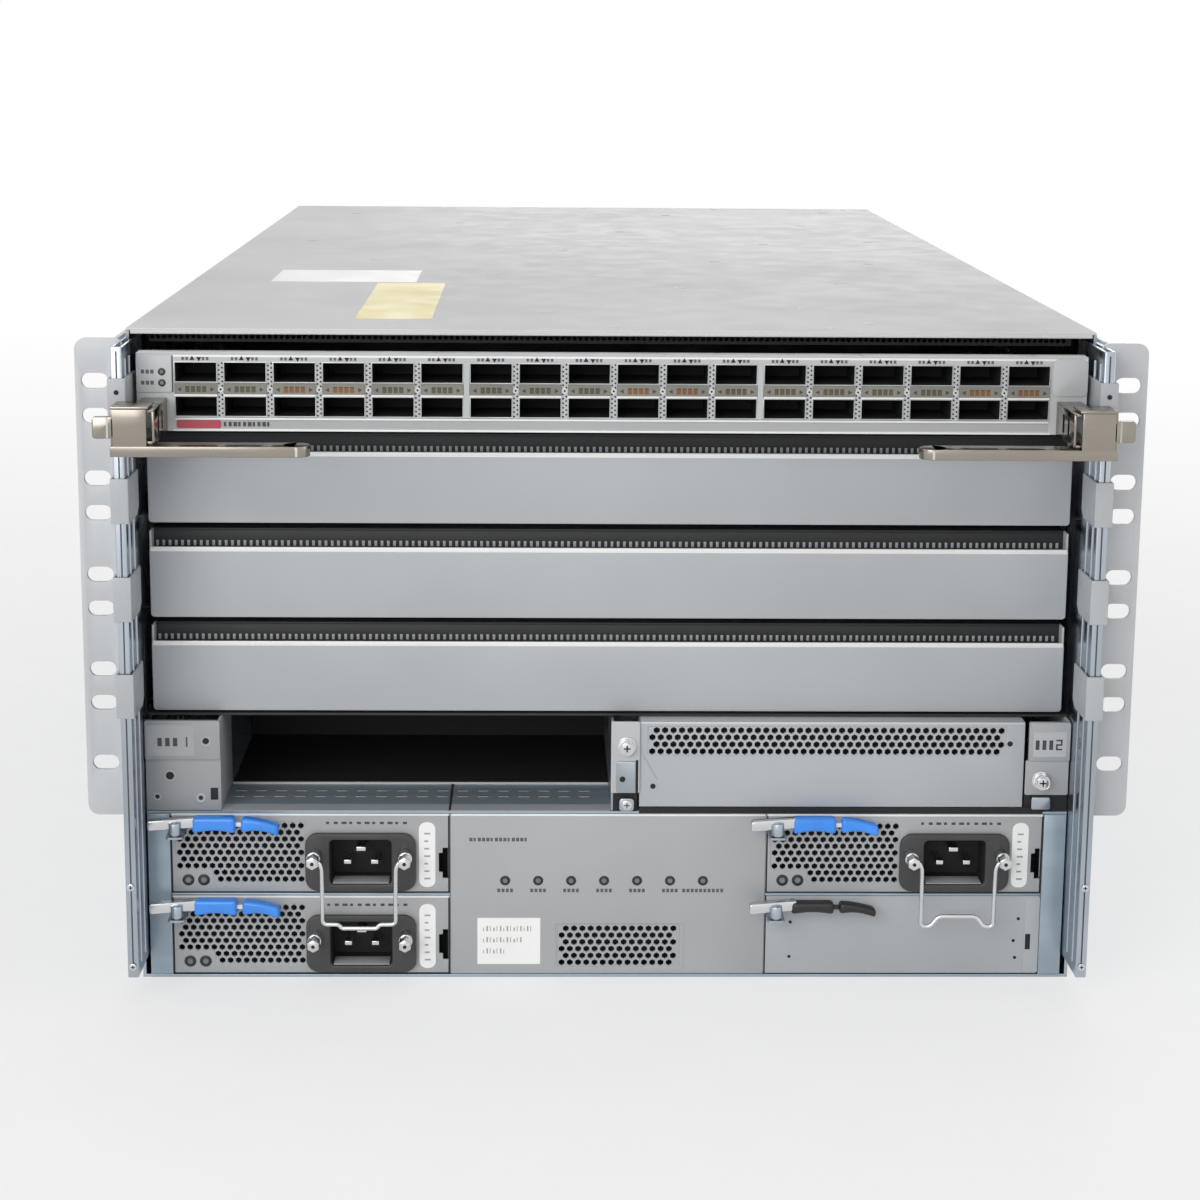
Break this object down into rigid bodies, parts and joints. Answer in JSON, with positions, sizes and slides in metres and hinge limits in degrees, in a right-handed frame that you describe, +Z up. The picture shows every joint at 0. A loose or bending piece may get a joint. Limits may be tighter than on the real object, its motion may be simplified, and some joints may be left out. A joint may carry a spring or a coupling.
{
  "type": "modular chassis switch",
  "caption": "Rack-mount chassis switch with a ported line card, slot blanks, power supplies, fan trays and rear controllers.",
  "frame": {"origin": "under the middle of the whole unit, on its base plane", "axes": "+X to the right seen from the front, +Y from the front to the rear, +Z up"},
  "size_m": [0.4826, 0.901, 0.3105],
  "materials": {
    "shell_zinc": "zinc-plated sheet steel with a soft sheen",
    "panel_paint": "satin grey painted sheet steel",
    "cover_paint": "very light grey painted sheet steel",
    "nickel": "warm satin nickel plate",
    "bright_steel": "bright steel wire and cages",
    "blue_grip": "blue moulded plastic over a zinc link",
    "black_plastic": "black moulded plastic",
    "board_green": "circuit board laminate",
    "light_strip": "beige light bar mouldings",
    "white_tube": "white powder-coated tube",
    "dark_lens": "dark indicator lenses"
  },
  "bodies": {
    "chassis": {"chassis_shell": "shell_zinc", "top_cover": "cover_paint", "side_rail_left": "shell_zinc", "side_rail_right": "shell_zinc", "slot_catches": "panel_paint", "rack_ear_left": "panel_paint", "rack_ear_right": "panel_paint", "card_cage": "shell_zinc", "supervisor_shelf": "shell_zinc", "supervisor_bracket_left": "panel_paint", "supervisor_bracket_centre": "panel_paint", "supervisor_bracket_right": "panel_paint", "power_bay": "shell_zinc", "indicator_panel": "panel_paint", "panel_lights": "dark_lens", "rear_panels": "panel_paint", "rear_shelf": "shell_zinc", "fabric_modules": "board_green"},
    "blank_2": {"slot_blank_2": "panel_paint"},
    "blank_3": {"slot_blank_3": "panel_paint"},
    "blank_4": {"slot_blank_4": "panel_paint"},
    "line_card": {"line_card_tray": "panel_paint", "line_card_board": "board_green", "port_cages": "bright_steel", "port_light_bars": "light_strip", "card_end_tiles": "panel_paint"},
    "ejector_left": {"ejector_lever_left": "nickel"},
    "ejector_right": {"ejector_lever_right": "nickel"},
    "sup_blank": {"supervisor_blank": "panel_paint"},
    "supply_1": {"power_supply_1": "panel_paint", "power_inlet_1": "black_plastic"},
    "latch_1": {"power_lever_1": "blue_grip"},
    "bail_1": {"wire_bail_1": "bright_steel"},
    "supply_2": {"power_supply_2": "panel_paint", "power_inlet_2": "black_plastic"},
    "latch_2": {"power_lever_2": "blue_grip"},
    "supply_3": {"power_supply_3": "panel_paint", "power_inlet_3": "black_plastic"},
    "latch_3": {"power_lever_3": "blue_grip"},
    "bail_3": {"wire_bail_3": "bright_steel"},
    "filler": {"power_blank": "panel_paint"},
    "latch_blank": {"power_blank_lever": "black_plastic"},
    "tray_left": {"fan_tray_left": "panel_paint", "tray_handles_left": "white_tube"},
    "rotor_left_upper": {"fan_rotor_left_upper": "black_plastic"},
    "rotor_left_lower": {"fan_rotor_left_lower": "black_plastic"},
    "tray_centre": {"fan_tray_centre": "panel_paint", "tray_handles_centre": "white_tube"},
    "rotor_centre_upper": {"fan_rotor_centre_upper": "black_plastic"},
    "rotor_centre_lower": {"fan_rotor_centre_lower": "black_plastic"},
    "tray_right": {"fan_tray_right": "panel_paint", "tray_handles_right": "white_tube"},
    "rotor_right_upper": {"fan_rotor_right_upper": "black_plastic"},
    "rotor_right_lower": {"fan_rotor_right_lower": "black_plastic"},
    "controller_1": {"system_controller_1": "panel_paint"},
    "latch_controller_1": {"controller_lever_1": "black_plastic"},
    "controller_2": {"system_controller_2": "panel_paint"},
    "latch_controller_2": {"controller_lever_2": "black_plastic"}
  },
  "joints": [
    {"name": "slot_blank_2_slide", "type": "slide", "parent": "chassis", "child": "blank_2", "axis": [0, -1, 0], "range_m": [0, 0.1]},
    {"name": "slot_blank_3_slide", "type": "slide", "parent": "chassis", "child": "blank_3", "axis": [0, -1, 0], "range_m": [0, 0.1]},
    {"name": "slot_blank_4_slide", "type": "slide", "parent": "chassis", "child": "blank_4", "axis": [0, -1, 0], "range_m": [0, 0.1]},
    {"name": "line_card_slide", "type": "slide", "parent": "chassis", "child": "line_card", "axis": [0, -1, 0], "range_m": [0, 0.3]},
    {"name": "ejector_left_swing", "type": "hinge", "parent": "line_card", "child": "ejector_left", "pos_m": [-0.2075, -0.44448, 0.26285], "axis": [0, 0, 1], "range_deg": [-45, 0]},
    {"name": "ejector_right_swing", "type": "hinge", "parent": "line_card", "child": "ejector_right", "pos_m": [0.2075, -0.44448, 0.26285], "axis": [0, 0, 1], "range_deg": [0, 45]},
    {"name": "supervisor_blank_slide", "type": "slide", "parent": "chassis", "child": "sup_blank", "axis": [0, -1, 0], "range_m": [0, 0.12]},
    {"name": "power_supply_1_slide", "type": "slide", "parent": "chassis", "child": "supply_1", "axis": [0, -1, 0], "range_m": [0, 0.25]},
    {"name": "power_lever_1_swing", "type": "hinge", "parent": "supply_1", "child": "latch_1", "pos_m": [-0.2017, -0.40897, 0.0773], "axis": [0, 0, 1], "range_deg": [-45, 0]},
    {"name": "wire_bail_1_swing", "type": "hinge", "parent": "supply_1", "child": "bail_1", "pos_m": [-0.1166, -0.41078, 0.0623], "axis": [1, 0, 0], "range_deg": [-95, 0]},
    {"name": "power_supply_2_slide", "type": "slide", "parent": "chassis", "child": "supply_2", "axis": [0, -1, 0], "range_m": [0, 0.01]},
    {"name": "power_lever_2_swing", "type": "hinge", "parent": "supply_2", "child": "latch_2", "pos_m": [-0.2017, -0.40897, 0.0368], "axis": [0, 0, 1], "range_deg": [-45, 0]},
    {"name": "power_supply_3_slide", "type": "slide", "parent": "chassis", "child": "supply_3", "axis": [0, -1, 0], "range_m": [0, 0.25]},
    {"name": "power_lever_3_swing", "type": "hinge", "parent": "supply_3", "child": "latch_3", "pos_m": [0.0787, -0.40897, 0.0773], "axis": [0, 0, 1], "range_deg": [-45, 0]},
    {"name": "wire_bail_3_swing", "type": "hinge", "parent": "supply_3", "child": "bail_3", "pos_m": [0.1638, -0.41078, 0.0623], "axis": [1, 0, 0], "range_deg": [-95, 0]},
    {"name": "power_blank_slide", "type": "slide", "parent": "chassis", "child": "filler", "axis": [0, -1, 0], "range_m": [0, 0.01]},
    {"name": "power_blank_lever_swing", "type": "hinge", "parent": "filler", "child": "latch_blank", "pos_m": [0.0787, -0.40897, 0.0368], "axis": [0, 0, 1], "range_deg": [-45, 0]},
    {"name": "fan_tray_left_slide", "type": "slide", "parent": "chassis", "child": "tray_left", "axis": [0, 1, 0], "range_m": [0, 0.2]},
    {"name": "fan_rotor_left_upper_spin", "type": "hinge", "parent": "tray_left", "child": "rotor_left_upper", "pos_m": [-0.127, 0.35902, 0.2317], "axis": [0, 1, 0], "continuous": true},
    {"name": "fan_rotor_left_lower_spin", "type": "hinge", "parent": "tray_left", "child": "rotor_left_lower", "pos_m": [-0.127, 0.35902, 0.1114], "axis": [0, 1, 0], "continuous": true},
    {"name": "fan_tray_centre_slide", "type": "slide", "parent": "chassis", "child": "tray_centre", "axis": [0, 1, 0], "range_m": [0, 0.2]},
    {"name": "fan_rotor_centre_upper_spin", "type": "hinge", "parent": "tray_centre", "child": "rotor_centre_upper", "pos_m": [0, 0.35902, 0.2317], "axis": [0, 1, 0], "continuous": true},
    {"name": "fan_rotor_centre_lower_spin", "type": "hinge", "parent": "tray_centre", "child": "rotor_centre_lower", "pos_m": [0, 0.35902, 0.1114], "axis": [0, 1, 0], "continuous": true},
    {"name": "fan_tray_right_slide", "type": "slide", "parent": "chassis", "child": "tray_right", "axis": [0, 1, 0], "range_m": [0, 0.2]},
    {"name": "fan_rotor_right_upper_spin", "type": "hinge", "parent": "tray_right", "child": "rotor_right_upper", "pos_m": [0.127, 0.35902, 0.2317], "axis": [0, 1, 0], "continuous": true},
    {"name": "fan_rotor_right_lower_spin", "type": "hinge", "parent": "tray_right", "child": "rotor_right_lower", "pos_m": [0.127, 0.35902, 0.1114], "axis": [0, 1, 0], "continuous": true},
    {"name": "system_controller_1_slide", "type": "slide", "parent": "chassis", "child": "controller_1", "axis": [0, 1, 0], "range_m": [0, 0.2]},
    {"name": "controller_lever_1_swing", "type": "hinge", "parent": "controller_1", "child": "latch_controller_1", "pos_m": [0.0117, 0.38003, 0.0086], "axis": [0, 0, 1], "range_deg": [0, 45]},
    {"name": "system_controller_2_slide", "type": "slide", "parent": "chassis", "child": "controller_2", "axis": [0, 1, 0], "range_m": [0, 0.2]},
    {"name": "controller_lever_2_swing", "type": "hinge", "parent": "controller_2", "child": "latch_controller_2", "pos_m": [-0.1716, 0.38003, 0.0086], "axis": [0, 0, 1], "range_deg": [0, 45]}
  ]
}
